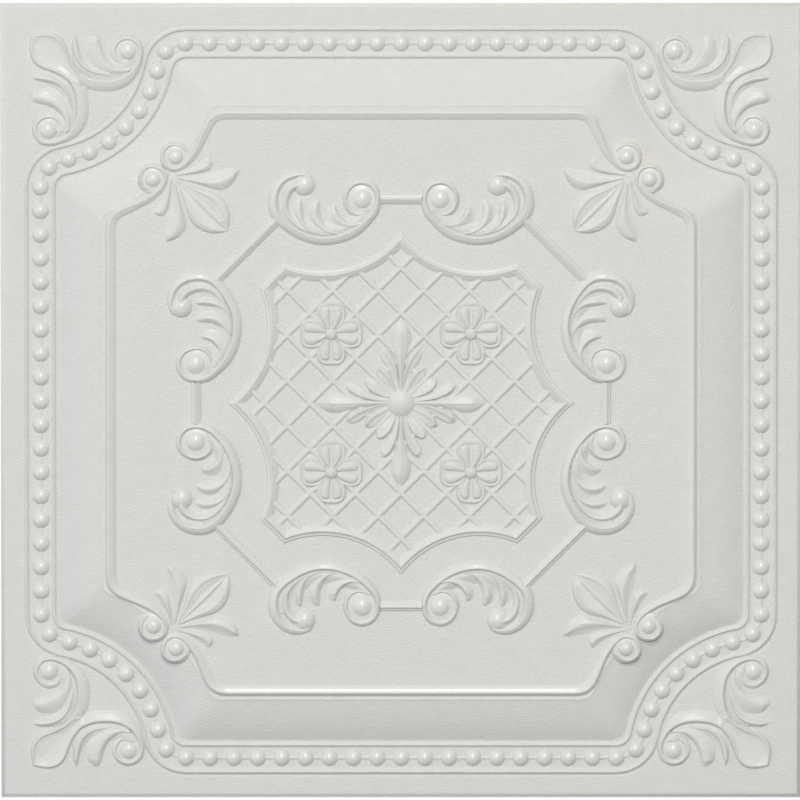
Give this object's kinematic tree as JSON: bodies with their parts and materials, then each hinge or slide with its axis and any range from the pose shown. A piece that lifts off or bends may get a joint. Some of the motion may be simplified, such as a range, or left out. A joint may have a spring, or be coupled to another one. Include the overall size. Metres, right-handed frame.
{
  "type": "polystyrene ceiling tile",
  "caption": "Square white foam ceiling tile pressed into a tin ceiling pattern, with a beaded border, a raised middle and a hollow back.",
  "frame": {"origin": "middle of the back plane, on the floor that the tile lies on", "axes": "+Z out of the decorated face, +X to its right and +Y to its top edge"},
  "size_m": [0.5, 0.5, 0.0164],
  "materials": {
    "polystyrene_foam": "pressed extruded polystyrene foam, white, fine satin skin"
  },
  "bodies": {
    "root": {"ceiling_tile": "polystyrene_foam"}
  },
  "joints": []
}
